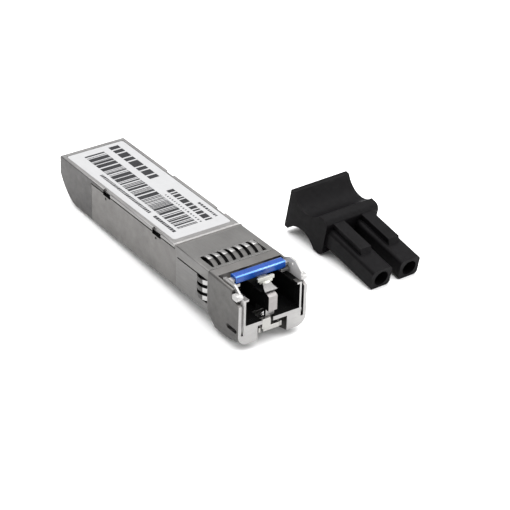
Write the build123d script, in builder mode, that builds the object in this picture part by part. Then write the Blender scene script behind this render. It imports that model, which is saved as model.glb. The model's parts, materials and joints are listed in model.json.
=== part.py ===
from build123d import *
import math
import os

# Small-form-factor pluggable optical transceiver: a duplex LC port, a bail latch and a dust plug.
#
# +X runs from the rear end, which enters the cage first, to the front face with the two ports.
# +Z is up. X = 0 is the rear end, Y = 0 the middle plane and Z = 0 the underside of the body.
# All sizes are in millimetres.

os.makedirs("parts", exist_ok=True)

# ---------------------------------------------------------------- driving dimensions

# Body, as the cage takes it
body_width = 13.4
body_height = 8.6
overall_length = 56.5
edge_radius = 1.2          # lower long edges of the body
wall = 0.8
floor_thickness = 1.0
seam = 0.06                # gap left between two pieces that meet
cover_gap = 0.22           # open joint between the cover's edge and the housing's wall
rear_opening = 10.6        # the underside is open this far from the rear end
stop_x = 47.5              # step that meets the cage's front edge
latch_shoulder_x = 45.0    # front of the latch boss, all cage sizes start here

# Nose, which stays outside the cage
nose_width = 13.7
nose_bottom = -2.2
foot_bottom = -1.3         # underside at the front face
nose_radius = 1.9
window_x = 49.5            # rear end of the open top that the bail lies in
brow_x = 54.3              # where the roof starts to slope down to the face
brow_bottom = 7.6
belly_rear = 49.1
belly_front = 52.6
belly_radius = 1.0
step_bottom = -0.9
roof_radius = 0.4

# Duplex LC port
port_pitch = 6.25
port_width = 4.53
port_height = 4.6
port_floor = 2.25
frame_depth = 1.3          # thickness of the metal frame around the port mouths
port_depth = 11.2
latch_inner = 1.35         # opening above each port for the connector's latch
latch_outer = 4.85
ferrule_radius = 0.63      # bore that takes a 1.25 mm ferrule

# Top cover
cover_front = 37.3
cover_thickness = 0.6
skirt_height = 5.3         # height of the skirt's corner at the rear end

# Collar of contact fingers
collar_rear = 37.9
collar_front = 47.4
collar_sheet = 0.25
finger_pitch = 1.5
finger_width = 0.86
finger_rise = 0.42

# Bail: a steel frame with a moulded grip, turning on a cross shaft in the nose
bail_x = 53.6
bail_z = 1.3
shaft_radius = 0.45
running_gap = 0.03
arm_inner = 5.82
arm_sheet = 0.36
groove_inner = 5.75
groove_outer = 6.25
eye_room = 1.15            # clear radius about the shaft for the arms' eyes
slot_height = 0.8          # of the slot in each cheek that the shaft goes in through
corner_radius = 5.7        # the cheeks' front corners are cut to this radius about the shaft
grip_half_length = 4.95
grip_rear = 51.3
grip_depth = 1.6
grip_bottom = 8.2
grip_height = 1.4

# Latch rocker under the nose
rocker_x = 50.2
rocker_z = 0.3
rocker_pin_radius = 0.4
boss_width = 2.6
boss_length = 2.6
boss_drop = 0.45
recess_half = 2.95
channel_half = 2.45
channel_roof = 1.5

# Circuit board
board_bottom = 2.25
board_thickness = 1.0
board_rear = 3.2
board_front = 34.4
board_half = 5.6
tongue_half = 4.6
contact_count = 10
contact_pitch = 0.8

# Dust plug, lying beside the body on the same table
plug_tip_x = 52.9
plug_tip_y = 28.6
plug_tip_z = -0.41
plug_pitch = 11.0          # degrees, nose down
plug_yaw = 1.8             # degrees
prong_width = 4.3
prong_height = 3.9
prong_length = 12.8
plug_length = 23.0

# Values that follow from them
half_width = body_width / 2
half_nose = nose_width / 2
port_y = port_pitch / 2
port_top = port_floor + port_height
axis_z = port_floor + port_height / 2
ledge_top = port_top + 0.35
cover_bottom = body_height - cover_thickness
frame_rear = overall_length - frame_depth
port_rear = overall_length - port_depth
jamb_inner = port_y + port_width / 2
post_half = port_y - port_width / 2
board_top = board_bottom + board_thickness
sides = (-1, 1)


def block(x0, x1, y0, y1, z0, z1, mode=Mode.ADD):
    """A box between two opposite corners."""
    with Locations(((x0 + x1) / 2, (y0 + y1) / 2, (z0 + z1) / 2)):
        Box(x1 - x0, y1 - y0, z1 - z0, mode=mode)


def both_sides(x0, x1, y0, y1, z0, z1, mode=Mode.ADD):
    """The same box on the left and on the right of the middle plane."""
    for side in sides:
        low, high = sorted((side * y0, side * y1))
        block(x0, x1, low, high, z0, z1, mode)


def body_outline(half, low, high, radius):
    """Section across the body: square above, rounded lower corners."""
    with BuildLine() as outline:
        Polyline((-half, low + radius), (-half, high), (half, high), (half, low + radius))
        RadiusArc((half, low + radius), (half - radius, low), radius)
        Line((half - radius, low), (-half + radius, low))
        RadiusArc((-half + radius, low), (-half, low + radius), radius)
    make_face(outline.edges())


def side_plane(y):
    """Plane at this Y for a side view, with X to the right and Z up. It extrudes towards -Y."""
    return Plane.XZ.offset(-y)


def save(builder, name):
    """Label a finished piece and write it."""
    builder.part.label = name
    export_step(builder.part, f"parts/{name}.step")


# ---------------------------------------------------------------- lower housing, die cast

insert_half = 5.7
insert_floor = 1.9
snap_spans = ((14.6, 16.9), (30.4, 33.0))
snap_holes = (15.4, 31.5)
snap_hole_z = 7.0
snap_hole_radius = 0.26
bed = collar_sheet

with BuildPart() as lower_housing:
    # Trough that holds the board, then the bed that the collar wraps
    with BuildSketch(Plane.YZ.offset(rear_opening + seam)):
        body_outline(half_width, 0, body_height, edge_radius)
    extrude(amount=collar_rear - rear_opening - seam)
    with BuildSketch(Plane.YZ.offset(collar_rear)):
        body_outline(half_width - bed, bed, body_height - bed, edge_radius - bed)
    extrude(amount=stop_x - collar_rear)
    block(rear_opening, cover_front + seam, -half_nose, half_nose, cover_bottom - cover_gap,
          body_height + 1, Mode.SUBTRACT)

    # Nose, in side view: square step at the rear, rounded belly, feet that rise to the face
    with BuildSketch(Plane.XZ) as nose_side:
        with BuildLine():
            Polyline(
                (stop_x, body_height),
                (brow_x, body_height),
                (overall_length, brow_bottom),
                (overall_length, foot_bottom),
                (belly_front, nose_bottom),
                (belly_rear, nose_bottom),
                (stop_x, step_bottom),
                close=True,
            )
        make_face()
        fillet(nose_side.vertices().group_by(Axis.Y)[0], belly_radius)
    extrude(amount=half_nose, both=True)
    nose_long_edges = (
        lower_housing.edges()
        .filter_by(lambda e: e.center().X > stop_x and abs(abs(e.center().Y) - half_nose) < 0.01)
        .filter_by(lambda e: e.center().Z < foot_bottom + 0.1)
    )
    fillet(nose_long_edges, nose_radius)
    roof_edges = lower_housing.edges().filter_by(
        lambda e: e.center().X > stop_x
        and abs(abs(e.center().Y) - half_nose) < 0.01
        and e.center().Z > 7.9
    )
    fillet(roof_edges, roof_radius)

    # Board trough, chamber for the optical assemblies and pocket for the port insert
    block(rear_opening, 36.9, -half_width + wall, half_width - wall, floor_thickness,
          body_height + 1, Mode.SUBTRACT)
    block(36.8, 43.2, -5.6, 5.6, 1.7, 7.6, Mode.SUBTRACT)
    block(43.1, frame_rear, -insert_half, insert_half, insert_floor, ledge_top, Mode.SUBTRACT)
    both_sides(13.5, 34.0, 4.95, half_width - wall, floor_thickness, board_bottom)

    # Open top of the nose
    block(window_x, overall_length + 1, -groove_outer, groove_outer, ledge_top, body_height + 2,
          Mode.SUBTRACT)

    # Port mouths, with ledges above them for the connectors' latches
    for side in sides:
        inner, outer = sorted((side * post_half, side * jamb_inner))
        block(frame_rear - 1, overall_length + 1, inner, outer, port_floor, port_top, Mode.SUBTRACT)
        inner, outer = sorted((side * latch_inner, side * latch_outer))
        block(frame_rear - 1, overall_length + 1, inner, outer, port_top, ledge_top + 1,
              Mode.SUBTRACT)
    # The post's foot and the sill are cut back for the rocker's tab
    tab_clearance_x = overall_length - 0.8
    block(tab_clearance_x, overall_length + 1, -post_half - 0.02, post_half + 0.02, port_floor, 3.5,
          Mode.SUBTRACT)
    block(tab_clearance_x, overall_length + 1, -2.05, 0.15, channel_roof - 0.1, port_floor + 0.1,
          Mode.SUBTRACT)

    # Grooves for the bail's arms, open to the front and the top
    for side in sides:
        with BuildSketch(side_plane(groove_outer if side > 0 else -groove_inner)) as groove:
            with BuildLine():
                Polyline(
                    (window_x, body_height + 1),
                    (window_x, 6.9),
                    (bail_x - eye_room, 6.0),
                    (bail_x - eye_room, bail_z - 0.75),
                    (overall_length + 1, bail_z - 0.75),
                    (overall_length + 1, body_height + 1),
                    close=True,
                )
            make_face()
            with Locations((bail_x, bail_z)):
                Circle(eye_room)
        extrude(amount=groove_outer - groove_inner, mode=Mode.SUBTRACT)

    # Front corners of the cheeks and of the post's cap, cut to arcs about the shaft
    arc_start = 54.4
    arc_end = overall_length + 0.5
    with BuildSketch(Plane.XZ) as corner_cut:
        with BuildLine():
            start_z = bail_z + math.sqrt(corner_radius**2 - (arc_start - bail_x) ** 2)
            end_z = bail_z + math.sqrt(corner_radius**2 - (arc_end - bail_x) ** 2)
            RadiusArc((arc_start, start_z), (arc_end, end_z), corner_radius)
            Polyline(
                (arc_end, end_z),
                (arc_end, body_height + 1),
                (arc_start, body_height + 1),
                (arc_start, start_z),
            )
        make_face()
    for side in sides:
        for low, high in ((0, 1.4), (groove_inner + 0.1, half_nose + 0.2)):
            with BuildSketch(side_plane(high if side > 0 else -low)):
                add(corner_cut.sketch_local)
            extrude(amount=high - low, mode=Mode.SUBTRACT)

    # Shaft bore, its slots in the cheeks, and room for the cam
    with BuildSketch(Plane.XZ):
        with Locations((bail_x, bail_z)):
            Circle(shaft_radius + running_gap)
    extrude(amount=groove_inner + 0.1, both=True, mode=Mode.SUBTRACT)
    for side in sides:
        with BuildSketch(side_plane(half_nose + 0.5 if side > 0 else -groove_outer + 0.1)):
            with Locations(((bail_x + overall_length - 0.9) / 2, bail_z)):
                SlotOverall(overall_length - bail_x, slot_height)
        extrude(amount=half_nose - groove_outer + 0.6, mode=Mode.SUBTRACT)
    block(bail_x - 0.6, bail_x + 0.9, -2.2, 2.2, channel_roof - 0.1, 1.85, Mode.SUBTRACT)
    block(bail_x - 0.6, frame_rear + 0.2, -2.05, 0.9, channel_roof - 0.1, insert_floor + 0.1,
          Mode.SUBTRACT)

    # Channel and recess for the rocker, and the holes of its pin
    block(41.4, stop_x + 0.1, -channel_half, channel_half, -1, channel_roof, Mode.SUBTRACT)
    block(stop_x - 0.1, overall_length + 1, -recess_half, recess_half, nose_bottom - 1, channel_roof,
          Mode.SUBTRACT)
    with BuildSketch(Plane.XZ):
        with Locations((rocker_x, rocker_z)):
            Circle(rocker_pin_radius)
    extrude(amount=4.2, both=True, mode=Mode.SUBTRACT)

    # Pockets under the collar's fingers and along its slits
    block(43.0, 46.9, -5.45, 5.45, 7.75, body_height, Mode.SUBTRACT)
    both_sides(44.2, 47.3, 6.05, half_width, 2.15, 6.7, Mode.SUBTRACT)
    both_sides(38.2, 44.3, 6.2, half_width, 6.42, 6.7, Mode.SUBTRACT)
    both_sides(43.0, 46.9, 2.75, 5.4, 0, 0.75, Mode.SUBTRACT)

    # Seats for the cover's snap tabs
    for low, high in snap_spans:
        both_sides(low, high, 6.25, half_width + 0.1, 7.5, body_height, Mode.SUBTRACT)
    for x in snap_holes:
        with BuildSketch(Plane.XZ):
            with Locations((x, snap_hole_z)):
                Circle(snap_hole_radius)
        extrude(amount=half_width + 0.1, both=True, mode=Mode.SUBTRACT)
save(lower_housing, "lower_housing")


# ---------------------------------------------------------------- top cover, with the rear skirts

label_rear = 0.8
label_front = 35.9
label_half = 5.95
label_sheet = 0.08
label_sunk = 0.03          # how far the film lies below the cover
label_corner = 0.6
label_margin = 0.08

with BuildPart() as top_cover:
    block(0, cover_front, -half_width, half_width, cover_bottom, body_height)
    with BuildSketch(Plane.YZ):
        body_outline(half_width, 0, cover_bottom, edge_radius)
    extrude(amount=rear_opening)
    with BuildSketch(Plane.YZ.offset(-0.1)):
        body_outline(half_width - 0.6, -1, cover_bottom, 0.4)
    extrude(amount=rear_opening + 0.2, mode=Mode.SUBTRACT)

    # The skirts' lower edge sweeps up to the rear end
    with BuildSketch(Plane.XZ):
        with BuildLine():
            Line((-1, -1), (-1, skirt_height))
            Line((-1, skirt_height), (0, skirt_height))
            ThreePointArc((0, skirt_height), (3.0, 1.75), (8.4, 0))
            Line((8.4, 0), (8.4, -1))
            Line((8.4, -1), (-1, -1))
        make_face()
    extrude(amount=half_width + 1, both=True, mode=Mode.SUBTRACT)
    front_edge = top_cover.edges().filter_by(Axis.Y).filter_by(
        lambda e: e.center().X > cover_front - 0.01 and e.center().Z > body_height - 0.01
    )
    chamfer(front_edge, 0.4)
    top_edges = top_cover.edges().filter_by(Axis.X).group_by(Axis.Z)[-1]
    fillet(top_edges, 0.2)

    # Recess for the label
    with BuildSketch(Plane.XY.offset(body_height)) as label_recess:
        with Locations(((label_rear + label_front) / 2, 0)):
            RectangleRounded(label_front - label_rear, 2 * label_half, label_corner)
    extrude(amount=-label_sheet - label_sunk, mode=Mode.SUBTRACT)

    # Notches at the edges, with a snap tab inside each, and two stiffening ribs
    for (low, high), hole_x in zip(snap_spans, snap_holes):
        both_sides(low, high, 6.25, half_width + 0.1, cover_bottom - 0.1, body_height + 0.1,
                   Mode.SUBTRACT)
        both_sides(low + 0.2, high - 0.2, 5.4, 5.84, 6.3, cover_bottom)
        for side in sides:
            with Locations((hole_x, side * 5.8, snap_hole_z)):
                Sphere(0.2)
    for x in (12.0, 24.0, 36.0):
        block(x, x + 0.7, -5.2, 5.2, cover_bottom - 0.7, cover_bottom)
    # Posts that hold the board down on its ledges
    both_sides(18.5, 20.0, 5.0, 5.4, board_top + 0.05, cover_bottom)
    both_sides(27.0, 28.5, 5.0, 5.4, board_top + 0.05, cover_bottom)
save(top_cover, "top_cover")

with BuildPart() as label:
    with BuildSketch(Plane.XY.offset(body_height - label_sheet - label_sunk)):
        with Locations(((label_rear + label_front) / 2, 0)):
            RectangleRounded(
                label_front - label_rear - 2 * label_margin,
                2 * (label_half - label_margin),
                label_corner - label_margin,
            )
    extrude(amount=label_sheet)
save(label, "label")


# ---------------------------------------------------------------- collar of contact fingers

finger_rear = 43.0
finger_front = 46.8
side_finger_rear = 44.2
side_finger_front = 47.2
side_finger_heights = (5.9, 4.4, 2.9)
top_finger_count = 7
bottom_finger_places = (3.45, 4.7)


def finger_strip(rear, front, level, sheet, rise):
    """Arched finger in side view: it leaves its root flush, rises, and dives under the sheet."""
    peak = rear + 0.48 * (front - rear)
    with BuildLine() as strip:
        ThreePointArc((rear - 0.1, level), (peak, level + rise), (front - 0.05, level - 0.42))
        Line((front - 0.05, level - 0.42), (front - 0.2, level - 0.42 - sheet))
        ThreePointArc(
            (front - 0.2, level - 0.42 - sheet),
            (peak, level + rise - sheet),
            (rear - 0.1, level - sheet),
        )
        Line((rear - 0.1, level - sheet), (rear - 0.1, level))
    make_face(strip.edges())


with BuildPart() as emi_collar:
    with BuildSketch(Plane.YZ.offset(collar_rear)):
        body_outline(half_width, 0, body_height, edge_radius)
        with BuildSketch(mode=Mode.SUBTRACT):
            body_outline(half_width - bed, bed, body_height - bed, edge_radius - bed)
    extrude(amount=collar_front - collar_rear)
    collar_roof = emi_collar.edges().filter_by(Axis.X).group_by(Axis.Z)[-1]
    fillet(collar_roof, 0.2)
    block(collar_rear - 1, stop_x + 1, -channel_half - 0.15, channel_half + 0.15, -1, 1, Mode.SUBTRACT)

    # Windows, then the fingers in them
    block(finger_rear, finger_front, -5.475, 5.475, body_height - 0.5, body_height + 1, Mode.SUBTRACT)
    both_sides(side_finger_rear, side_finger_front, 6.2, half_width + 0.1, 2.15, 6.7, Mode.SUBTRACT)
    both_sides(38.2, side_finger_rear + 0.1, 6.2, half_width + 0.1, 6.42, 6.7, Mode.SUBTRACT)
    both_sides(finger_rear, finger_front, 2.8, 5.35, -0.5, 0.4, Mode.SUBTRACT)
    for i in range(top_finger_count):
        y = (i - (top_finger_count - 1) / 2) * finger_pitch
        with BuildSketch(side_plane(y + finger_width / 2)):
            finger_strip(finger_rear, finger_front, body_height, 0.2, finger_rise)
        extrude(amount=finger_width)
    for side in sides:
        for z in side_finger_heights:
            finger_plane = Plane(origin=(0, 0, z - finger_width / 2), x_dir=(1, 0, 0), z_dir=(0, 0, 1))
            with BuildSketch(finger_plane) as side_finger:
                finger_strip(side_finger_rear, side_finger_front, half_width, 0.2, 0.36)
                if side < 0:
                    mirror(about=Plane.XZ, mode=Mode.REPLACE)
            extrude(amount=finger_width)
        for y in bottom_finger_places:
            with BuildSketch(side_plane(side * y + 0.45)) as bottom_finger:
                finger_strip(finger_rear, finger_front, 0, 0.2, 0.3)
                mirror(about=Plane.XZ, mode=Mode.REPLACE)
            extrude(amount=0.9)
save(emi_collar, "emi_collar")


# ---------------------------------------------------------------- duplex LC insert, moulded black

barrel_radius = 1.35
gap = 0.03                 # clearance all round the insert in its pocket

with BuildPart() as lc_insert:
    block(43.3, frame_rear - gap, -insert_half + gap, insert_half - gap, insert_floor, ledge_top - gap)
    for side in sides:
        inner, outer = sorted((side * post_half, side * jamb_inner))
        block(port_rear, overall_length, inner, outer, port_floor, port_top, Mode.SUBTRACT)
        inner, outer = sorted((side * 1.65, side * 4.6))
        block(49.6, overall_length, inner, outer, port_top - 0.1, body_height, Mode.SUBTRACT)
    # Roof thinned under the tongue's swing
    block(53.4, overall_length, -1.7, 1.7, port_top + 0.1, body_height, Mode.SUBTRACT)
    # Foot of the wall between the ports, cut away over the rocker's tab, the shaft and its cam
    block(bail_x - 0.75, overall_length, -post_half - 0.1, post_half + 0.1, port_floor, 3.4,
          Mode.SUBTRACT)
    block(bail_x - 0.75, overall_length, -2.05, 0.9, insert_floor - 0.1, port_floor + 0.1,
          Mode.SUBTRACT)
    # Holes for the two optical barrels
    with BuildSketch(Plane.YZ.offset(43.0)):
        with Locations((-port_y, axis_z), (port_y, axis_z)):
            Circle(barrel_radius + 0.02)
    extrude(amount=4, mode=Mode.SUBTRACT)
save(lc_insert, "lc_insert")


# ---------------------------------------------------------------- transmit and receive assemblies

can_rear = 35.6
header_thickness = 1.0
header_radius = 2.5
can_radius = 2.05
sleeve_radius = 0.95
flex_half = 1.7
lead_pitch = 1.6
lead_radius = 0.16
flange_radius = 2.4
flange_rear = 40.6
flange_front = 42.6
barrel_front = 50.0
sleeve_length = 4.6


def along_x(x0, x1, y, radius, mode=Mode.ADD):
    """A cylinder along X on a port's axis."""
    with BuildSketch(Plane.YZ.offset(x0)) as disk:
        with Locations((y, axis_z)):
            Circle(radius)
    extrude(disk.sketch, amount=x1 - x0, mode=mode)


for name, y in (("tosa", -port_y), ("rosa", port_y)):
    # Can on its header, with a step up to the flange
    with BuildPart() as can:
        along_x(can_rear, can_rear + header_thickness, y, header_radius)
        along_x(can_rear + header_thickness, flange_rear, y, can_radius)
    save(can, f"{name}_can")

    # Barrel: a flange, a neck and the nose that stands in the port, bored for the ferrule
    with BuildPart() as barrel:
        along_x(flange_rear, flange_front, y, flange_radius)
        along_x(flange_front, barrel_front, y, barrel_radius)
        along_x(barrel_front - sleeve_length - 0.5, barrel_front + 0.5, y, sleeve_radius,
                Mode.SUBTRACT)
        chamfer(barrel.edges().filter_by(GeomType.CIRCLE).group_by(Axis.X)[-1], 0.12)
    save(barrel, f"{name}_barrel")

    # Ceramic sleeve inside the barrel, where the ferrule is a sliding fit
    with BuildPart() as sleeve:
        along_x(barrel_front - sleeve_length - 0.5, barrel_front - 0.2, y, sleeve_radius)
        along_x(barrel_front - sleeve_length, barrel_front, y, ferrule_radius, Mode.SUBTRACT)
    save(sleeve, f"{name}_sleeve")

    # Flexible circuit from the header down to the board
    with BuildPart() as flex:
        with BuildSketch(side_plane(y + flex_half)):
            with BuildLine():
                FilletPolyline(
                    (31.8, board_top + 0.06),
                    (33.9, board_top + 0.06),
                    (35.44, board_top + 1.1),
                    (35.44, axis_z + 1.8),
                    radius=(0.7, 0.5),
                )
            trace(line_width=0.12)
        extrude(amount=2 * flex_half)
    save(flex, f"{name}_flex")

    # Four leads that stand through the flexible circuit
    with BuildPart() as leads:
        with BuildSketch(Plane.YZ.offset(34.95)):
            with Locations((y, axis_z)):
                with GridLocations(lead_pitch, lead_pitch, 2, 2):
                    Circle(lead_radius)
        extrude(amount=0.4)
    save(leads, f"{name}_leads")

# Plate that clamps both flanges against the insert
with BuildPart() as osa_retainer:
    block(flange_front + 0.02, 43.18, -5.5, 5.5, 1.8, 7.5)
    for side in sides:
        along_x(flange_front - 1, 44, side * port_y, barrel_radius + 0.05, Mode.SUBTRACT)
save(osa_retainer, "osa_retainer")


# ---------------------------------------------------------------- circuit board and what is on it

with BuildPart() as circuit_board:
    with BuildSketch(Plane.XY.offset(board_bottom)) as outline:
        with BuildLine():
            Polyline(
                (board_rear, -tongue_half),
                (11.5, -tongue_half),
                (12.3, -board_half),
                (board_front, -board_half),
                (board_front, board_half),
                (12.3, board_half),
                (11.5, tongue_half),
                (board_rear, tongue_half),
                close=True,
            )
        make_face()
        # Clear of the cover's snap tabs
        for low, high in snap_spans:
            for side in sides:
                with Locations(((low + high) / 2, side * board_half)):
                    Rectangle(high - low + 0.4, 0.6, mode=Mode.SUBTRACT)
    extrude(amount=board_thickness)
    rear_edges = circuit_board.edges().filter_by(Axis.Y).filter_by(
        lambda e: e.center().X < board_rear + 0.01
    )
    chamfer(rear_edges, 0.3)
save(circuit_board, "circuit_board")

contact_sheet = 0.05
contact_width = 0.6
contact_front = 7.6
long_contact_rear = 3.6
short_contact_rear = 4.2
for name, level in (("top", board_top), ("bottom", board_bottom - contact_sheet)):
    with BuildPart() as contacts:
        for i in range(contact_count):
            y = (i - (contact_count - 1) / 2) * contact_pitch
            # Ground and power contacts reach further back, so that they meet first
            start = long_contact_rear if i in (0, 4, 9) else short_contact_rear
            block(start, contact_front, y - contact_width / 2, y + contact_width / 2, level,
                  level + contact_sheet)
    save(contacts, f"{name}_contacts")


def chip(x, y, length, width, height, mode=Mode.ADD):
    """A package standing on the board's upper face."""
    block(x - length / 2, x + length / 2, y - width / 2, y + width / 2, board_top,
          board_top + height, mode)


with BuildPart() as laser_driver:
    chip(28.6, -2.9, 3.6, 3.6, 0.85)
    chamfer(laser_driver.edges().group_by(Axis.Z)[-1], 0.08)
save(laser_driver, "laser_driver")

with BuildPart() as limiting_amplifier:
    chip(28.6, 2.9, 3.0, 3.0, 0.8)
    chamfer(limiting_amplifier.edges().group_by(Axis.Z)[-1], 0.08)
save(limiting_amplifier, "limiting_amplifier")

with BuildPart() as controller:
    chip(20.6, 0.6, 4.6, 4.6, 0.9)
    chamfer(controller.edges().group_by(Axis.Z)[-1], 0.1)
save(controller, "controller")

with BuildPart() as crystal:
    chip(15.4, -2.6, 3.2, 2.2, 0.7)
    fillet(crystal.edges().filter_by(Axis.Z), 0.35)
save(crystal, "crystal")

capacitor_places = ((24.4, -3.8), (24.4, -1.2), (24.6, 3.6), (31.0, 0.0), (13.6, 1.8), (13.6, 3.4))
with BuildPart() as capacitors:
    for x, y in capacitor_places:
        chip(x, y, 1.6, 0.8, 0.75)
save(capacitors, "capacitors")

resistor_places = ((25.2, 1.4), (25.2, -2.5), (17.2, 3.9), (17.2, -4.2), (10.2, -2.4), (10.2, 2.4))
with BuildPart() as resistors:
    for x, y in resistor_places:
        chip(x, y, 1.0, 0.5, 0.35)
save(resistors, "resistors")

with BuildPart() as supply_inductors:
    for y in (-0.9, 4.0):
        chip(10.0 if y < 0 else 22.0, y, 2.0, 1.2, 0.95)
save(supply_inductors, "supply_inductors")

# Soft pad that carries the board's heat into the housing floor
with BuildPart() as thermal_pad:
    block(25.0, 31.5, -3.6, 3.6, floor_thickness, board_bottom)
    fillet(thermal_pad.edges().filter_by(Axis.Z), 0.6)
save(thermal_pad, "thermal_pad")


# ---------------------------------------------------------------- bail

arm_outer = arm_inner + arm_sheet
arm_foot = 0.95
leg_rear = bail_x - 0.6
leg_front = bail_x + 0.55
cross_bar = (51.6, 52.6, -arm_outer, arm_outer, 8.55, 9.0)
# The right shoulder stands higher than the left one
left_shoulder = ((50.95, 8.0), (50.95, 9.2), (54.0, 9.2), (55.7, 8.1), (55.9, 7.15))
right_shoulder = ((50.95, 8.0), (50.95, 9.1), (52.7, 9.9), (54.5, 9.9), (56.1, 8.6), (55.9, 7.15))
left_eyelet = (54.1, 8.35)
right_eyelet = (53.6, 9.05)
eyelet_radius = 0.3

with BuildPart() as bail_frame:
    for side, shoulder, eyelet in (
        (-1, left_shoulder, left_eyelet),
        (1, right_shoulder, right_eyelet),
    ):
        # Arm: an eye on the shaft, a leg, and a broad shoulder that carries the grip
        with BuildSketch(side_plane(arm_outer if side > 0 else -arm_inner)) as arm:
            with BuildLine():
                Polyline(
                    (leg_rear, bail_z),
                    (leg_rear, 6.4),
                    *shoulder,
                    (leg_front, 6.2),
                    (leg_front, bail_z),
                    close=True,
                )
            make_face()
            fillet(arm.vertices().filter_by(lambda v: v.Y > 6.0), 0.4)
            with Locations((bail_x, bail_z)):
                Circle(arm_foot)
            with Locations((bail_x, bail_z)):
                Circle(shaft_radius, mode=Mode.SUBTRACT)
            with Locations(eyelet):
                Circle(eyelet_radius, mode=Mode.SUBTRACT)
        extrude(amount=arm_sheet)
        # Ear turned outwards over the cheek's front corner
        with BuildSketch(side_plane(half_nose + 0.1 if side > 0 else -arm_inner)) as ear:
            with Locations((55.45, 7.6)):
                RectangleRounded(1.6, 1.1, 0.42)
        extrude(amount=half_nose + 0.1 - arm_inner)
    # Cross bar inside the grip, and a lug under each of the grip's ends
    block(*cross_bar)
    both_sides(52.3, 52.85, 4.1, arm_outer, 7.6, 8.15)
save(bail_frame, "bail_frame")

with BuildPart() as bail_grip:
    block(grip_rear, grip_rear + grip_depth, -grip_half_length, grip_half_length, grip_bottom,
          grip_bottom + grip_height)
    long_edges = bail_grip.edges().filter_by(Axis.Y)
    fillet(long_edges, 0.32)
    # Moulded around the cross bar
    block(*cross_bar, Mode.SUBTRACT)
save(bail_grip, "bail_grip")

tongue_tip_half = 1.3

# Spring tongue on the grip: a cross head, and a strip that curves down to the post's cap
with BuildPart() as bail_tongue:
    block(grip_rear + grip_depth, 54.35, -0.9, 0.9, 8.28, 8.5)
    block(53.95, 54.4, -1.65, 1.65, 8.2, 8.85)
    fillet(bail_tongue.edges().filter_by(Axis.X).group_by(Axis.Z)[-1], 0.15)
    with BuildSketch(side_plane(tongue_tip_half)) as strip:
        with BuildLine():
            FilletPolyline((54.1, 8.3), (54.55, 7.75), (55.0, 7.3), (55.85, 6.98), radius=0.35)
        trace(line_width=0.22)
    extrude(amount=2 * tongue_tip_half)
    # The strip is narrow at the head and broad at its tip
    for side in sides:
        with BuildSketch(Plane.XY.offset(6)) as taper:
            with BuildLine():
                Polyline(
                    (54.41, side * 0.75),
                    (56.0, side * tongue_tip_half),
                    (56.0, side * 3),
                    (54.41, side * 3),
                    close=True,
                )
            make_face()
        extrude(taper.sketch, amount=4, mode=Mode.SUBTRACT)
save(bail_tongue, "bail_tongue")

lobe_reach = 0.75
lobe_radius = 0.3
cam_half = 2.0

with BuildPart() as bail_shaft:
    with BuildSketch(Plane.XZ):
        with Locations((bail_x, bail_z)):
            Circle(shaft_radius)
    extrude(amount=arm_outer + 0.05, both=True)
    with BuildSketch(Plane.XZ) as cam:
        with Locations((bail_x + lobe_reach - lobe_radius, bail_z)):
            Circle(lobe_radius)
        with Locations((bail_x, bail_z)):
            Circle(shaft_radius)
        make_hull()
    extrude(amount=cam_half, both=True)
save(bail_shaft, "bail_shaft")


# ---------------------------------------------------------------- latch rocker

arm_bottom = 0.05
arm_top = 0.62
rocker_front = 56.25
bar_rear = 55.3            # front bar across the rocker's arm
hub_radius = 0.95
hub_half = 2.7
rear_arm_half = 2.2
front_arm_half = 2.1

with BuildPart() as latch_rocker:
    # Rear arm with the latch boss, hub, and front arm under the cam
    block(42.0, rocker_x, -rear_arm_half, rear_arm_half, arm_bottom, arm_top)
    with BuildSketch(Plane.XZ):
        with Locations((rocker_x, rocker_z)):
            Circle(hub_radius)
    extrude(amount=hub_half, both=True)
    block(rocker_x, bar_rear + 0.2, -front_arm_half, front_arm_half, 0.1, arm_top)
    with BuildSketch(side_plane(boss_width / 2)):
        with BuildLine():
            Polyline(
                (latch_shoulder_x - boss_length, arm_bottom),
                (latch_shoulder_x - 0.7, -boss_drop),
                (latch_shoulder_x, -boss_drop),
                (latch_shoulder_x, arm_bottom + 0.1),
                (latch_shoulder_x - boss_length, arm_bottom + 0.1),
                close=True,
            )
        make_face()
    extrude(amount=boss_width)
    # Front bar, with a tab turned up through the notch in the sill
    block(bar_rear, rocker_front, -1.6, 1.6, -0.2, arm_top + 0.05)
    block(55.8, rocker_front, -1.85, -0.15, 0.3, port_floor - 0.05)
    both_sides(54.9, 55.9, 1.9, 2.35, -0.4, 0.5)
    fillet(latch_rocker.edges().filter_by(Axis.X).group_by(Axis.Z)[-1], 0.25)
    # Clearance over the shaft's plain ends, and the pin's bore
    with BuildSketch(Plane.XZ):
        with Locations((rocker_x, rocker_z)):
            Circle(rocker_pin_radius + running_gap)
    extrude(amount=3, both=True, mode=Mode.SUBTRACT)
    block(bail_x - 0.7, bail_x + 1.0, -2.4, 2.4, bail_z - shaft_radius - 0.09, 1.2, Mode.SUBTRACT)
save(latch_rocker, "latch_rocker")

with BuildPart() as rocker_pin:
    with BuildSketch(Plane.XZ):
        with Locations((rocker_x, rocker_z)):
            Circle(rocker_pin_radius)
    extrude(amount=4.15, both=True)
save(rocker_pin, "rocker_pin")

# Leaf spring between the channel's roof and the rocker's rear arm
with BuildPart() as rocker_spring:
    with BuildSketch(side_plane(1.3)):
        with BuildLine():
            ThreePointArc((42.8, 0.76), (45.4, 1.4), (48.4, 0.76))
        trace(line_width=0.12)
    extrude(amount=2.6)
save(rocker_spring, "rocker_spring")

# ---------------------------------------------------------------- dust plug

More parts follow.
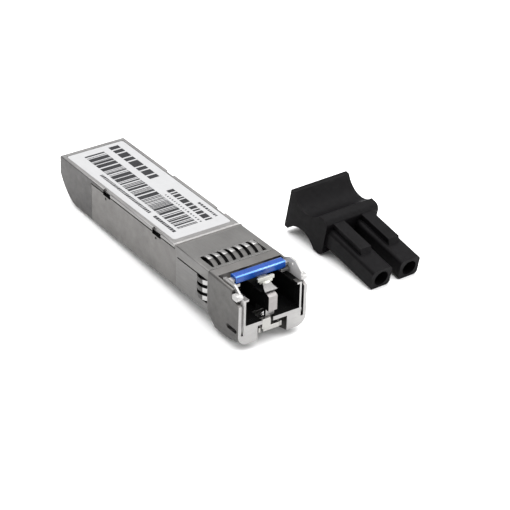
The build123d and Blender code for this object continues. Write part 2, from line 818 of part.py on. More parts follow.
pitch = math.radians(plug_pitch)
yaw = math.radians(plug_yaw)
plug_forward = Vector(
    math.cos(pitch) * math.cos(yaw), math.cos(pitch) * math.sin(yaw), -math.sin(pitch)
)
plug_left = Vector(-math.sin(yaw), math.cos(yaw), 0)
plug_up = plug_forward.cross(plug_left)
plug_tip = Vector(plug_tip_x, plug_tip_y, plug_tip_z)
grip_end = -plug_length
collar_x = -prong_length
end_half_height = 4.05
end_half_width = 6.2
collar_half_height = 3.7
collar_half_width = 5.75
waist_half_height = 1.95
hole_radius = 1.46
hole_depth = 8.5
ridge_half = 1.15
ridge_top = 3.0
ridge_front = -4.5
ridge_slope = 0.7
end_plate = 0.9
collar_band = 2.2
waist_x = grip_end + 4.6


def plug_side(y):
    """Side view of the plug at this distance to its left; it extrudes to the right."""
    return Plane(origin=plug_tip + plug_left * y, x_dir=plug_forward, z_dir=plug_left * -1)


def plug_front(x):
    """Section across the plug at this distance ahead of its tip; it extrudes forward."""
    return Plane(origin=plug_tip + plug_forward * x, x_dir=plug_left, z_dir=plug_forward)


with BuildPart() as dust_plug:
    # Handle: an end plate and a collar with a deep waist between them
    with BuildSketch(plug_side(end_half_width)) as handle:
        with BuildLine():
            Line((grip_end, -end_half_height), (grip_end, end_half_height))
            Line((grip_end, end_half_height), (grip_end + end_plate, end_half_height))
            ThreePointArc(
                (grip_end + end_plate, end_half_height),
                (waist_x, waist_half_height),
                (collar_x - collar_band, collar_half_height),
            )
            Line((collar_x - collar_band, collar_half_height), (collar_x, collar_half_height))
            Line((collar_x, collar_half_height), (collar_x, -collar_half_height))
            Line((collar_x, -collar_half_height), (collar_x - collar_band, -collar_half_height))
            ThreePointArc(
                (collar_x - collar_band, -collar_half_height),
                (waist_x, -waist_half_height),
                (grip_end + end_plate, -end_half_height),
            )
            Line((grip_end + end_plate, -end_half_height), (grip_end, -end_half_height))
        make_face()
        fillet(handle.vertices().group_by(Axis.X)[-1], 1.0)
    extrude(amount=2 * end_half_width)
    # The collar's end is a little narrower than the end plate
    for side in sides:
        with BuildSketch(Plane(plug_tip, x_dir=plug_forward, z_dir=plug_up)):
            with BuildLine():
                Polyline(
                    (grip_end - 1, side * end_half_width),
                    (grip_end + 1, side * end_half_width),
                    (collar_x + 1, side * collar_half_width),
                    (collar_x + 1, side * 8),
                    (grip_end - 1, side * 8),
                    close=True,
                )
            make_face()
        extrude(amount=8, both=True, mode=Mode.SUBTRACT)

    # Two prongs, each with the ridge that stands for a connector's latch, and a deep hole
    for side in sides:
        with BuildSketch(plug_front(0)) as prong:
            with Locations((side * port_y, 0)):
                RectangleRounded(prong_width, prong_height, 0.7)
        extrude(amount=collar_x - 0.5)
        with BuildSketch(plug_side(side * port_y + ridge_half)):
            with BuildLine():
                Polyline(
                    (collar_x - 0.5, 1.5),
                    (collar_x - 0.5, ridge_top),
                    (ridge_front - ridge_slope, ridge_top),
                    (ridge_front, 1.5),
                    close=True,
                )
            make_face()
        extrude(amount=2 * ridge_half)
        with BuildSketch(plug_front(0)):
            with Locations((side * port_y, 0)):
                Circle(hole_radius)
        extrude(amount=-hole_depth, mode=Mode.SUBTRACT)
save(dust_plug, "dust_plug")
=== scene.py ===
import json
import math
import random

import bmesh
import bpy
from mathutils import Matrix, Vector


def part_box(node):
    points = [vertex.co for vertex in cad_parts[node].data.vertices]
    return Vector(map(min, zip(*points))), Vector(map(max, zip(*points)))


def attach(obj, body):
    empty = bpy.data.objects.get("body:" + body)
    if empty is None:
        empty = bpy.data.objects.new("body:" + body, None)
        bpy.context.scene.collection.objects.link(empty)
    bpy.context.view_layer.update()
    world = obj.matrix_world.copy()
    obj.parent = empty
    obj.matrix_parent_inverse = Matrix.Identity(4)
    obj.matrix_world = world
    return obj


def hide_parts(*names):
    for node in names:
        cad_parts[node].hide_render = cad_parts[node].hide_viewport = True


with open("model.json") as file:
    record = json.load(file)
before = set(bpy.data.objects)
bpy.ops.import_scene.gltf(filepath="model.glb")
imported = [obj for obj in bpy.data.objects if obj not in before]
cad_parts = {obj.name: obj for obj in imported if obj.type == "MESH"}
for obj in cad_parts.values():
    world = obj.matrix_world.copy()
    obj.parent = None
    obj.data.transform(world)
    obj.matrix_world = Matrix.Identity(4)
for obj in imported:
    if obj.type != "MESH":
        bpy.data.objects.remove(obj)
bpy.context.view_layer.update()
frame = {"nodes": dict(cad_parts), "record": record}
nodes = frame["nodes"]
body_of_node = {
    node: body
    for body, members in frame["record"]["behaviour"]["bodies"].items()
    for node in members
}
slot_of_node = {row["node"]: row["material_slot"] for row in frame["record"]["subparts"]}

MM = 0.001  # places and sizes named below are in metres unless they say millimetres
scene = bpy.context.scene
scene.view_settings.view_transform = "Standard"
scene.view_settings.look = "None"

# ---------------------------------------------------------------- camera

CAMERA_PLACE = Vector((0.30183, -0.18165, 0.19395))
CAMERA_BACK = Vector((0.6976, -0.5053, 0.5080)).normalized()  # from the object to the camera
CAMERA_ROLL = 0.031  # radians
LENS_MM = 155.1
SENSOR_MM = 36.0
NEAREST = 0.01
FURTHEST = 20

level = Vector((0, 0, 1)).cross(CAMERA_BACK).normalized()
upward = CAMERA_BACK.cross(level)
right = level * math.cos(CAMERA_ROLL) + upward * math.sin(CAMERA_ROLL)
above = upward * math.cos(CAMERA_ROLL) - level * math.sin(CAMERA_ROLL)
camera_data = bpy.data.cameras.new("camera")
camera_data.lens = LENS_MM
camera_data.sensor_width = SENSOR_MM
camera_data.clip_start = NEAREST
camera_data.clip_end = FURTHEST
camera = bpy.data.objects.new("camera", camera_data)
scene.collection.objects.link(camera)
turn = Matrix((right, above, CAMERA_BACK)).transposed()
camera.matrix_world = Matrix.Translation(CAMERA_PLACE) @ turn.to_4x4()
scene.camera = camera

# ---------------------------------------------------------------- materials

NOISE_LOW = 0.3  # nearly all of a noise texture lies between these two values
NOISE_HIGH = 0.7
TRACKS_PER_METRE = 480
TRACK_GAP = 0.035


class Finish:
    """A node material under construction: object coordinates in, a Principled shader out."""

    def __init__(self, name, metallic=0.0, coat=0.0, coat_roughness=0.1, sheen=0.0, specular=0.5):
        self.made = bpy.data.materials.new(name)
        self.made.use_nodes = True
        self.tree = self.made.node_tree
        self.shader = self.tree.nodes["Principled BSDF"]
        self.shader.inputs["Metallic"].default_value = metallic
        self.shader.inputs["Coat Weight"].default_value = coat
        self.shader.inputs["Coat Roughness"].default_value = coat_roughness
        self.shader.inputs["Sheen Weight"].default_value = sheen
        self.shader.inputs["Specular IOR Level"].default_value = specular
        self.place = self.tree.nodes.new("ShaderNodeTexCoord").outputs["Object"]
        self.normal = None

    def join(self, out, socket):
        """A link from an output to an input."""
        self.tree.links.new(out, socket)

    def scaled(self, stretch):
        """Object coordinates stretched by a different factor along each axis."""
        node = self.tree.nodes.new("ShaderNodeMapping")
        node.inputs["Scale"].default_value = stretch
        self.join(self.place, node.inputs["Vector"])
        return node.outputs["Vector"]

    def noise(self, size_mm, detail, rough=0.55, stretch=(1, 1, 1)):
        """Noise whose features are about size_mm across."""
        node = self.tree.nodes.new("ShaderNodeTexNoise")
        node.inputs["Scale"].default_value = 1 / (size_mm * MM)
        node.inputs["Detail"].default_value = detail
        node.inputs["Roughness"].default_value = rough
        self.join(self.scaled(stretch), node.inputs["Vector"])
        return node.outputs["Fac"]

    def ramp(self, value, stops):
        """A colour ramp between two stops; each is a place and a grey or a colour."""
        node = self.tree.nodes.new("ShaderNodeValToRGB")
        for point, (place, tone) in zip(node.color_ramp.elements, stops):
            tone = (tone,) * 3 if isinstance(tone, (int, float)) else tone
            point.position = place
            point.color = (*tone, 1)
        self.join(value, node.inputs["Fac"])
        return node.outputs["Color"]

    def mixed(self, a, b, share, mode="MIX"):
        """Two colours, or a colour and a texture, mixed by a texture or a number."""
        node = self.tree.nodes.new("ShaderNodeMixRGB")
        node.blend_type = mode
        for socket, value in ((node.inputs[0], share), (node.inputs[1], a), (node.inputs[2], b)):
            if hasattr(value, "links"):
                self.join(value, socket)
            elif isinstance(value, (int, float)):
                socket.default_value = value
            else:
                socket.default_value = (*value, 1)
        return node.outputs[0]

    def ranged(self, value, low, high):
        """Noise stretched to a range."""
        node = self.tree.nodes.new("ShaderNodeMapRange")
        node.inputs["From Min"].default_value = NOISE_LOW
        node.inputs["From Max"].default_value = NOISE_HIGH
        node.inputs["To Min"].default_value = low
        node.inputs["To Max"].default_value = high
        self.join(value, node.inputs["Value"])
        return node.outputs["Result"]

    def bump(self, height, depth_mm):
        """Relief depth_mm deep, on top of any relief that is there already."""
        node = self.tree.nodes.new("ShaderNodeBump")
        node.inputs["Distance"].default_value = depth_mm * MM
        node.inputs["Strength"].default_value = 1.0
        self.join(height, node.inputs["Height"])
        if self.normal is not None:
            self.join(self.normal, node.inputs["Normal"])
        self.normal = node.outputs["Normal"]

    def colour(self, value):
        """The texture that drives the base colour."""
        self.join(value, self.shader.inputs["Base Color"])

    def roughness(self, value):
        """The texture that drives the roughness."""
        self.join(value, self.shader.inputs["Roughness"])

    def done(self):
        """The finished material."""
        if self.normal is not None:
            self.join(self.normal, self.shader.inputs["Normal"])
        return self.made


def shade(colour, factor):
    """A colour made lighter or darker."""
    return tuple(min(1.0, c * factor) for c in colour)


def cast_metal(name, colour, rough, grain=0.012):
    """Plated die casting: cloudy tone, orange-peel grain and a few darker pores."""
    f = Finish(name, metallic=1.0)
    clouds = f.noise(5.0, detail=3)
    tone = f.ramp(
        clouds, ((NOISE_LOW, shade(colour, 0.86)), (NOISE_HIGH, shade(colour, 1.08)))
    )
    specks = f.ramp(f.noise(0.22, detail=2), ((0.24, 0.62), (0.34, 1.0)))
    f.colour(f.mixed(tone, specks, 0.7, "MULTIPLY"))
    f.roughness(f.ranged(f.noise(1.4, detail=4), rough - 0.07, rough + 0.09))
    f.bump(f.noise(0.16, detail=3), grain)
    f.bump(f.noise(1.6, detail=2), grain * 1.6)
    return f.done()


def brushed_metal(name, colour, rough, along=(0.05, 1, 1), depth=0.004, fine_mm=0.05):
    """Rolled or ground sheet: hairlines along one axis, faint scratches and handling marks."""
    f = Finish(name, metallic=1.0)
    hair = f.noise(fine_mm, detail=2, stretch=along)
    clouds = f.noise(4.0, detail=3)
    tone = f.ramp(
        clouds, ((NOISE_LOW, shade(colour, 0.9)), (NOISE_HIGH, shade(colour, 1.07)))
    )
    lines = f.ramp(hair, ((0.35, 0.86), (0.6, 1.0)))
    f.colour(f.mixed(tone, lines, 0.6, "MULTIPLY"))
    scratches = f.noise(0.3, detail=3, stretch=along)
    f.roughness(f.ranged(scratches, rough - 0.06, rough + 0.08))
    f.bump(hair, depth)
    return f.done()


def moulded(name, colour, rough, grain_mm=0.12, depth=0.006, coat=0.0, sheen=0.0, dust=0.05,
            specular=0.5):
    """Moulded plastic or elastomer: fine spark-eroded grain, flow clouds and dust worked in by
    handling.
    """
    f = Finish(name, coat=coat, coat_roughness=0.12, sheen=sheen, specular=specular)
    clouds = f.noise(3.5, detail=3)
    tone = f.ramp(clouds, ((NOISE_LOW, shade(colour, 0.82)), (0.72, shade(colour, 1.15))))
    pale = tuple(min(1.0, c + 0.22) for c in colour)
    dusty = f.ramp(f.noise(0.5, detail=5, rough=0.7), ((0.6, 0.0), (0.8, dust)))
    f.colour(f.mixed(tone, pale, dusty))
    f.roughness(f.ranged(f.noise(0.9, detail=4), rough - 0.07, rough + 0.1))
    f.bump(f.noise(grain_mm, detail=2), depth)
    return f.done()


def printed_film(name, colour):
    """Coated label stock: faint fibres, a soft gloss and a little grime."""
    f = Finish(name, coat=0.15, coat_roughness=0.25)
    grime = f.noise(2.2, detail=4)
    tone = f.ramp(grime, ((NOISE_LOW, shade(colour, 0.95)), (NOISE_HIGH, colour)))
    fibres = f.noise(0.1, detail=2, stretch=(0.3, 1, 1))
    fibres = f.ramp(fibres, ((NOISE_LOW, 0.94), (0.55, 1.0)))
    f.colour(f.mixed(tone, fibres, 0.6, "MULTIPLY"))
    f.roughness(f.ranged(f.noise(0.8, detail=3), 0.36, 0.5))
    f.bump(f.noise(0.12, detail=2), 0.002)
    f.bump(f.noise(4.0, detail=1), 0.015)
    return f.done()


def solder_mask(name, colour):
    """Board laminate: tracks and pads that show through the mask, over a fine glass weave."""
    f = Finish(name, coat=0.4, coat_roughness=0.15)
    tracks = f.tree.nodes.new("ShaderNodeTexBrick")
    tracks.inputs["Scale"].default_value = TRACKS_PER_METRE
    tracks.inputs["Mortar Size"].default_value = TRACK_GAP
    tracks.inputs["Color1"].default_value = (*colour, 1)
    tracks.inputs["Color2"].default_value = (*shade(colour, 1.3), 1)
    tracks.inputs["Mortar"].default_value = (*shade(colour, 2.1), 1)
    f.join(f.scaled((1, 1, 1)), tracks.inputs["Vector"])
    weave = f.ramp(f.noise(0.15, detail=2), ((NOISE_LOW, 0.85), (NOISE_HIGH, 1.0)))
    f.colour(f.mixed(tracks.outputs["Color"], weave, 0.8, "MULTIPLY"))
    f.roughness(f.ranged(f.noise(0.7, detail=3), 0.28, 0.42))
    f.bump(tracks.outputs["Fac"], 0.012)
    return f.done()


# The look of each material slot
LOOKS = {
    "housing_zinc": cast_metal("housing_zinc", (0.155, 0.15, 0.145), 0.42),
    "cover_metal": brushed_metal("cover_metal", (0.25, 0.245, 0.242), 0.42, fine_mm=0.07),
    "label_film": printed_film("label_film", (0.37, 0.37, 0.375)),
    "collar_steel": brushed_metal("collar_steel", (0.16, 0.157, 0.153), 0.4, depth=0.003),
    "insert_black": moulded("insert_black", (0.003, 0.003, 0.003), 0.6, dust=0.0, specular=0.05),
    "can_metal": brushed_metal("can_metal", (0.66, 0.63, 0.56), 0.3, along=(1, 0.1, 0.1)),
    "barrel_steel": brushed_metal("barrel_steel", (0.62, 0.62, 0.61), 0.25, along=(1, 0.1, 0.1)),
    "sleeve_ceramic": moulded("sleeve_ceramic", (0.82, 0.81, 0.78), 0.3, dust=0.0, coat=0.3),
    "flex_film": moulded("flex_film", (0.50, 0.25, 0.06), 0.35, coat=0.4, dust=0.03),
    "lead_gold": brushed_metal("lead_gold", (0.86, 0.62, 0.26), 0.25),
    "retainer_steel": brushed_metal("retainer_steel", (0.50, 0.50, 0.49), 0.35),
    "board_laminate": solder_mask("board_laminate", (0.02, 0.13, 0.055)),
    "contact_gold": brushed_metal("contact_gold", (0.88, 0.64, 0.27), 0.2, fine_mm=0.03),
    "chip_plastic": moulded("chip_plastic", (0.02, 0.02, 0.022), 0.55, grain_mm=0.06),
    "crystal_metal": brushed_metal("crystal_metal", (0.70, 0.69, 0.66), 0.22),
    "capacitor_ceramic": moulded("capacitor_ceramic", (0.42, 0.29, 0.18), 0.45),
    "resistor_body": moulded("resistor_body", (0.03, 0.03, 0.035), 0.35),
    "inductor_body": moulded("inductor_body", (0.11, 0.11, 0.12), 0.5),
    "pad_silicone": moulded("pad_silicone", (0.38, 0.44, 0.52), 0.7, sheen=0.2),
    "bail_steel": brushed_metal("bail_steel", (0.40, 0.395, 0.39), 0.48, depth=0.003),
    "grip_blue": moulded("grip_blue", (0.002, 0.045, 0.25), 0.3, depth=0.002, coat=0.5, dust=0.0,
                         specular=0.2),
    "tongue_steel": brushed_metal("tongue_steel", (0.36, 0.36, 0.335), 0.3, depth=0.002),
    "shaft_steel": brushed_metal("shaft_steel", (0.56, 0.56, 0.55), 0.25, along=(1, 0.1, 1)),
    "rocker_steel": cast_metal("rocker_steel", (0.35, 0.346, 0.33), 0.36, grain=0.006),
    "pin_steel": brushed_metal("pin_steel", (0.56, 0.56, 0.55), 0.25, along=(1, 0.1, 1)),
    "spring_steel": brushed_metal("spring_steel", (0.56, 0.56, 0.56), 0.3),
    "plug_black": moulded("plug_black", (0.004, 0.0037, 0.0042), 0.46, grain_mm=0.1, depth=0.008,
                          dust=0.003, specular=0.05),
}
# Painted highlight: a lighter, smoother copy of a slot's look on its rounded edges
EDGE_HIGHLIGHTS = {
    "housing_zinc": brushed_metal("housing_edge_highlight", (0.23, 0.225, 0.22), 0.36),
    "cover_metal": brushed_metal("cover_edge_highlight", (0.28, 0.275, 0.27), 0.34),
    "collar_steel": brushed_metal("collar_edge_highlight", (0.21, 0.206, 0.2), 0.32),
    "plug_black": moulded("plug_edge_highlight", (0.005, 0.0047, 0.0052), 0.38, dust=0.005, specular=0.1),
    "grip_blue": moulded("grip_edge_highlight", (0.1, 0.33, 0.9), 0.25, depth=0.001, dust=0.0, coat=0.8),
}
# Looks of single faces: black for deep gaps; the others carry painted light and painted shade
SHADED = LOOKS["insert_black"]  # deep gaps that no light reaches
SKIRT_PAINTED_SHADE = brushed_metal("skirt_painted_shade", (0.092, 0.089, 0.088), 0.45, along=(0.3, 1, 0.3))
NOSE_PAINTED_SHADE = cast_metal("nose_painted_shade", (0.1, 0.097, 0.094), 0.45)
FINGER_PAINTED_SHADE = brushed_metal("finger_painted_shade", (0.075, 0.073, 0.071), 0.34)
FINGER_PAINTED_HIGHLIGHT = brushed_metal("finger_painted_highlight", (0.4, 0.395, 0.39), 0.35)
FRONT_PAINTED_LIGHT = brushed_metal("front_painted_light", (0.345, 0.34, 0.336), 0.45, along=(1, 0.06, 1))
CHEEK_PAINTED_LIGHT = brushed_metal("cheek_painted_light", (0.27, 0.256, 0.252), 0.45, along=(1, 0.06, 1))
GROOVE_PAINTED_LIGHT = moulded("groove_painted_light", (0.78, 0.77, 0.76), 0.4)
PLATE_PAINTED_LIGHT = moulded("plate_painted_light", (0.44, 0.43, 0.425), 0.4)
ARM_PAINTED_SHADE = brushed_metal("arm_painted_shade", (0.2, 0.197, 0.195), 0.45)

# ---------------------------------------------------------------- carried-over and softened pieces


def shown(name, mesh, body, slot, *materials):
    """A new piece that rides on a body."""
    piece = bpy.data.objects.new(name, mesh)
    scene.collection.objects.link(piece)
    mesh.materials.clear()
    for made in materials:
        mesh.materials.append(made)
    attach(piece, body)
    return piece


def applied(piece):
    """Bakes the piece's modifiers into its mesh."""
    bpy.context.view_layer.update()
    graph = bpy.context.evaluated_depsgraph_get()
    made = bpy.data.meshes.new_from_object(piece.evaluated_get(graph))
    piece.modifiers.clear()
    piece.data = made


MERGE_DISTANCE = 2e-6
FLAT_WITHIN = math.radians(0.4)  # faces that meet at less than this are one flat face
SHARP_FROM = math.radians(30)  # edges sharper than this are rounded
ROUND_SEGMENTS = 2
BODY_FACES = 0  # material index of a softened piece's faces
EDGE_FACES = 1  # material index of its rounded edges
AREA_WEIGHT = 100  # how much larger faces steer the shading of the edges between them
SQUARE_ON = 0.99995  # a face this close to an axis is flat, so it is shaded flat


def softened(node, width):
    """The node's own shape with its sharp edges rounded, and the rounds painted a little brighter
    as a highlight.
    """
    slot = slot_of_node[node]
    mesh = nodes[node].data.copy()
    shape = bmesh.new()
    shape.from_mesh(mesh)
    bmesh.ops.remove_doubles(shape, verts=shape.verts, dist=MERGE_DISTANCE)
    bmesh.ops.dissolve_limit(
        shape, angle_limit=FLAT_WITHIN, verts=shape.verts, edges=shape.edges
    )
    bmesh.ops.recalc_face_normals(shape, faces=shape.faces)
    for face in shape.faces:
        face.material_index = BODY_FACES
        face.smooth = True
    shape.to_mesh(mesh)
    shape.free()
    piece = shown(node + "_finished", mesh, body_of_node[node], slot, LOOKS[slot],
                  EDGE_HIGHLIGHTS.get(slot, LOOKS[slot]))
    edge = piece.modifiers.new("edge", "BEVEL")
    edge.width = width * MM
    edge.segments = ROUND_SEGMENTS
    edge.limit_method = "ANGLE"
    edge.angle_limit = SHARP_FROM
    edge.material = EDGE_FACES
    applied(piece)
    for face in piece.data.polygons:
        face.use_smooth = max(abs(part) for part in face.normal) < SQUARE_ON
    evened = piece.modifiers.new("evened", "WEIGHTED_NORMAL")
    evened.weight = AREA_WEIGHT
    evened.keep_sharp = True
    applied(piece)
    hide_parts(node)
    return piece


# Radius of each softened piece's edges, in millimetres
SOFT_EDGES = {
    "lower_housing": 0.09,
    "top_cover": 0.09,
    "emi_collar": 0.05,
    "lc_insert": 0.05,
    "bail_grip": 0.2,
    "bail_frame": 0.06,
    "bail_tongue": 0.05,
    "latch_rocker": 0.06,
    "dust_plug": 0.28,
}
for node, made in nodes.items():
    made.data.materials.clear()
    made.data.materials.append(LOOKS[slot_of_node[node]])
pieces = {node: softened(node, width) for node, width in SOFT_EDGES.items()}


def repaint(node, look, chosen):
    """Gives another look to the faces that a test on centre (mm) and normal picks."""
    mesh = pieces[node].data
    mesh.materials.append(look)
    for face in mesh.polygons:
        if chosen(face.center / MM, face.normal):
            face.material_index = len(mesh.materials) - 1


# How far a face's normal leans towards an axis
SLIGHTLY = 0.2
PARTLY = 0.3
MOSTLY = 0.6
SQUARELY = 0.7
ROUNDED = 0.35

# Places on the body in millimetres: X from its rear end, Y from its middle, Z from its underside.
# A pair is the two ends of a span.
BODY_HALF = 6.7
BODY_TOP = 8.6
TOUCHING = 0.01
WALL_INNER = 5.8
SKIRT_INNER = 6.5
SKIRT_FRONT = 10.7
COVER_UNDERSIDE = 7.98
JOINT_X = (10.6, 37.4)  # the open joint between the cover's edge and the wall
JOINT_Z = (7.7, 7.82)
NOTCHES = ((14.6, 16.9), (30.4, 33.0))
NOTCH_MARGIN = 0.1
NOTCH_INNER = 5.3
NOTCH_FLOOR = (7.4, 7.9)
FINGERS = (43.0, 47.3)
TOP_FINGERS_LOW = 8.0
TOP_FINGERS_HALF = 5.4
SIDE_FINGERS_INNER = 6.2
SIDE_FINGERS = (2.3, 6.5)
SIDE_TOP = 7
HIGHLIGHT_BEHIND = 44.9  # on the fingers on top
HIGHLIGHT_AHEAD = 46.0  # on the fingers on the sides
POCKETS = (42.9, 47.35)  # the pockets under the fingers
TOP_POCKETS_HALF = 5.5
TOP_POCKETS_Z = (7.7, 8.3)
SIDE_POCKETS_Y = (6.0, 6.4)
SIDE_POCKETS_Z = (2.1, 6.75)
STEP_X = 47.4
FRONT_X = 54.9  # everything ahead of this belongs to the front face
CHEEK_INNER = 6.2
POST_HALF = 1
POST_LOW = 3
MOUTH_X = 55.0
MOUTH_HALF = 5.6
MOUTH_Z = (2.0, 7.4)
GROOVE_X = 51
ARM_Y = (5.7, 6)
ARM_LOW = 2
ARM_HIGH = 6
ARM_FRONT = 54.6
TONGUE_TIP = 54.8


def within(value, span):
    """Whether a value lies inside a span."""
    return span[0] < value < span[1]


def at_notch(c):
    """Whether a point lies in one of the notches along the cover's edges."""
    return abs(c.y) > NOTCH_INNER and any(
        low - NOTCH_MARGIN < c.x < high + NOTCH_MARGIN for low, high in NOTCHES)


def at_joint(c):
    """Whether a point lies in the open joint between the cover's edge and the wall."""
    return within(c.x, JOINT_X) and abs(c.y) > WALL_INNER and within(c.z, JOINT_Z)


def on_finger(c):
    """Whether a point lies on one of the collar's contact fingers, and not on its flat sheet."""
    off_top = abs(c.z - BODY_TOP) > TOUCHING
    off_side = abs(abs(c.y) - BODY_HALF) > TOUCHING
    above = c.z > TOP_FINGERS_LOW and off_top and abs(c.y) < TOP_FINGERS_HALF
    beside = abs(c.y) > SIDE_FINGERS_INNER and off_side and within(c.z, SIDE_FINGERS)
    return within(c.x, FINGERS) and (above or beside)


def in_painted_highlight(c):
    """Whether a point on a finger gets the painted highlight: the rear half of the top fingers,
    the front half of the side fingers.
    """
    return c.x < HIGHLIGHT_BEHIND if c.z > SIDE_TOP else c.x > HIGHLIGHT_AHEAD


def in_pocket(c):
    """Whether a point lies in one of the pockets under the fingers."""
    above = abs(c.y) < TOP_POCKETS_HALF and within(c.z, TOP_POCKETS_Z)
    beside = within(abs(c.y), SIDE_POCKETS_Y) and within(c.z, SIDE_POCKETS_Z)
    return within(c.x, POCKETS) and (above or beside)


def on_cheek_or_post(c):
    """Whether a point lies on the right cheek, or on the post between the ports."""
    return c.y > CHEEK_INNER or (abs(c.y) < POST_HALF and c.z > POST_LOW)


def in_mouth(c):
    """Whether a point lies in the mouth of a port."""
    return c.x > MOUTH_X and abs(c.y) < MOUTH_HALF and within(c.z, MOUTH_Z)


# Painted shade on the side faces of the cover's rear skirt
repaint("top_cover", SKIRT_PAINTED_SHADE,
        lambda c, n: abs(n.y) > SQUARELY and c.x < SKIRT_FRONT and abs(c.y) > SKIRT_INNER)
repaint("top_cover", SHADED, lambda c, n: at_notch(c) and c.z < COVER_UNDERSIDE)
repaint("lower_housing", SHADED, lambda c, n: at_notch(c) and within(c.z, NOTCH_FLOOR))
repaint("lower_housing", SHADED, lambda c, n: at_joint(c) and n.z > SLIGHTLY)

# Painted shade on one half of each contact finger, painted highlight on the other half
repaint("emi_collar", FINGER_PAINTED_SHADE, lambda c, n: on_finger(c) and not in_painted_highlight(c))
repaint("emi_collar", FINGER_PAINTED_HIGHLIGHT, lambda c, n: on_finger(c) and in_painted_highlight(c))
repaint("lower_housing", SHADED, lambda c, n: in_pocket(c))

# Painted shade on the side faces of the nose
repaint("lower_housing", NOSE_PAINTED_SHADE,
        lambda c, n: c.x > STEP_X and abs(n.y) > PARTLY and abs(c.y) > WALL_INNER)
# Painted light: the nose's front faces are made brighter
repaint("lower_housing", FRONT_PAINTED_LIGHT, lambda c, n: c.x > FRONT_X and n.x > MOSTLY)
# Painted light on the right cheek's and the post's front faces, dimmer than on the other front
# faces
repaint("lower_housing", CHEEK_PAINTED_LIGHT,
        lambda c, n: c.x > FRONT_X and n.x > SLIGHTLY and on_cheek_or_post(c))
# Painted light on the wall of the left groove
repaint("lower_housing", GROOVE_PAINTED_LIGHT,
        lambda c, n: c.x > GROOVE_X and n.y < -SQUARELY and within(-c.y, ARM_Y))
# Painted light on the inner face of the bail's right arm, then painted shade on the upper edge of
# its left arm
repaint("bail_frame", PLATE_PAINTED_LIGHT,
        lambda c, n: c.z > ARM_LOW and n.y < -SQUARELY and within(c.y, ARM_Y))
repaint("bail_frame", ARM_PAINTED_SHADE,
        lambda c, n: c.z > ARM_HIGH and n.z > SLIGHTLY and c.x < ARM_FRONT and c.y < 0)
# Painted shade on the broad tip of the tongue
repaint("bail_tongue", ARM_PAINTED_SHADE, lambda c, n: c.x > TONGUE_TIP)
# Painted highlight: the lighter blue of the edge look along the grip's upper front edge
repaint("bail_grip", EDGE_HIGHLIGHTS["grip_blue"], lambda c, n: n.x > ROUNDED and n.z > ROUNDED)
# The inner faces of the ports' mouths get the black look of the deep gaps
repaint("lower_housing", SHADED, lambda c, n: in_mouth(c) and abs(n.x) < PARTLY)

# ---------------------------------------------------------------- label print

INK = moulded("ink", (0.022, 0.022, 0.024), 0.5, depth=0.001, dust=0.0, specular=0.12)
INK_GREY = moulded("ink_grey", (0.1, 0.1, 0.103), 0.5, depth=0.001, dust=0.0, specular=0.12)
_, label_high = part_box("label")
INK_LIFT = 0.012 * MM
PRINT_SEED = 7
random.seed(PRINT_SEED)


class Print:
    """Flat ink marks on top of the label, gathered into one mesh."""

    def __init__(self):
        self.shape = bmesh.new()

    def mark(self, x0, x1, y0, y1, grey=False):
        """A rectangle of ink, in millimetres."""
        top = label_high.z + INK_LIFT
        under = label_high.z - INK_LIFT / 2
        rows = []
        for z in (under, top):
            rows.append([self.shape.verts.new((x * MM, y * MM, z))
                         for x, y in ((x0, y0), (x1, y0), (x1, y1), (x0, y1))])
        low, high = rows
        faces = [self.shape.faces.new(high), self.shape.faces.new(list(reversed(low)))]
        for i in range(len(low)):
            j = (i + 1) % len(low)
            faces.append(self.shape.faces.new((low[i], low[j], high[j], high[i])))
        for face in faces:
            face.material_index = int(grey)

    def made(self, name):
        """The marks as one piece on the label."""
        mesh = bpy.data.meshes.new(name)
        self.shape.to_mesh(mesh)
        self.shape.free()
        return shown(name, mesh, "module", "label_film", INK, INK_GREY)


ink = Print()
# Bar pattern of no meaning, in millimetres
BARS_REAR = 2.7
BARS_FRONT = 33.5
LAST_BAR_START = 33.2
BARS_ACROSS = (-3.3, 0.75)
BROAD_SHARE = 0.34
BROAD_BARS, BROAD_GAPS = (0.45, 0.7, 1.1), (0.25, 0.4)
NARROW_BARS, NARROW_GAPS = (0.16, 0.24), (0.14, 0.18, 0.26)
x = BARS_REAR
while x < LAST_BAR_START:
    broad = random.random() < BROAD_SHARE
    width = random.choice(BROAD_BARS if broad else NARROW_BARS)
    gap = random.choice(BROAD_GAPS if broad else NARROW_GAPS)
    ink.mark(x, min(x + width, BARS_FRONT), *BARS_ACROSS, grey=not broad)
    x += width + gap


def block_row(x0, x1, y0, y1, widths, gap):
    """A row of plain solid blocks that stands where a name would be."""
    share = (x1 - x0 - gap * (len(widths) - 1)) / sum(widths)
    x = x0
    for width in widths:
        ink.mark(x, x + width * share, y0, y1)
        x += width * share + gap


def dashes(x0, x1, y0, y1, low, high, gap, grey):
    """A line of short dashes that stands where small print would be."""
    x = x0
    while x < x1 - low:
        width = random.uniform(low, high)
        ink.mark(x, min(x + width, x1), y0, y1, grey)
        x += width + gap


# Each row: X from and to, Y from and to, in millimetres
block_row(1.9, 15.8, 2.2, 4.2, (2, 2, 3, 2, 4, 2, 3, 2), 0.42)
block_row(20.9, 33.3, 2.3, 3.7, (2, 1, 2, 1, 3, 2, 2, 1, 2, 3, 1), 0.34)
dashes(27.4, 33.2, 4.5, 5.0, 0.25, 0.6, 0.2, True)
dashes(22.0, 33.4, 1.25, 1.6, 0.2, 0.5, 0.45, True)
dashes(10.0, 26.0, -4.6, -3.95, 0.25, 0.4, 0.16, True)
dashes(27.3, 33.7, -4.6, -3.95, 0.3, 0.7, 0.12, False)
ink.made("label_print")

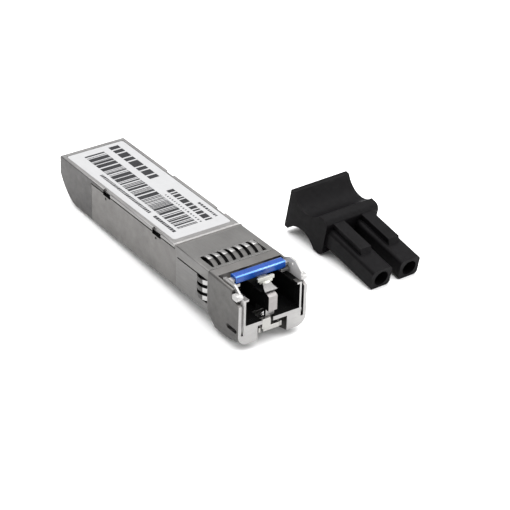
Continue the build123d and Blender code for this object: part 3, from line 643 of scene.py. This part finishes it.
# ---------------------------------------------------------------- floor and light

# The module leans on its nose, so the floor falls away towards the ports
FLOOR_X = 8.4 * MM  # where the floor meets Z = 0
FLOOR_FALL = 0.0535
FLOOR_HALF = 3.0
PAPER_ROUGHNESS = 0.9
floor_mesh = bpy.data.meshes.new("floor")
floor_corners = [(x * FLOOR_HALF, y * FLOOR_HALF) for x, y in
                 ((-1, -1), (1, -1), (1, 1), (-1, 1))]
corners = [(x, y, -(x - FLOOR_X) * FLOOR_FALL) for x, y in floor_corners]
floor_mesh.from_pydata(corners, [], [(0, 1, 2, 3)])
floor = bpy.data.objects.new("floor", floor_mesh)
scene.collection.objects.link(floor)
paper = Finish("paper")
paper.colour(paper.ramp(paper.noise(30, detail=2), ((NOISE_LOW, 0.94), (NOISE_HIGH, 0.96))))
paper.shader.inputs["Roughness"].default_value = PAPER_ROUGHNESS
floor_mesh.materials.append(paper.done())

SKY_STRENGTH = 0.55
world = bpy.data.worlds.new("studio")
scene.world = world
world.use_nodes = True
sky = world.node_tree.nodes["Background"]
sky.inputs["Color"].default_value = (1.0, 1.0, 1.0, 1)
sky.inputs["Strength"].default_value = SKY_STRENGTH


def softbox(name, place, target, size, power):
    """A large soft light that faces a point on the object."""
    data = bpy.data.lights.new(name, "AREA")
    data.shape = "RECTANGLE"
    data.size, data.size_y = size
    data.energy = power
    lamp = bpy.data.objects.new(name, data)
    scene.collection.objects.link(lamp)
    lamp.location = place
    away = Vector(place) - Vector(target)
    lamp.rotation_mode = "QUATERNION"
    lamp.rotation_quaternion = away.to_track_quat("Z", "Y")


CENTRE = (0.035, 0.012, 0.004)
# Place, target, size in metres and power in watts
softbox("overhead", (-0.05, 0.15, 0.75), CENTRE, (1.1, 1.1), 13)
softbox("kicker", (0.43, 0.4, 0.44), CENTRE, (0.16, 0.16), 1.2)
softbox("front_low", (0.55, 0.5, 0.10), CENTRE, (0.5, 0.25), 2.6)
softbox("left_fill", (-0.2, -0.5, 0.6), CENTRE, (0.6, 0.6), 2.0)
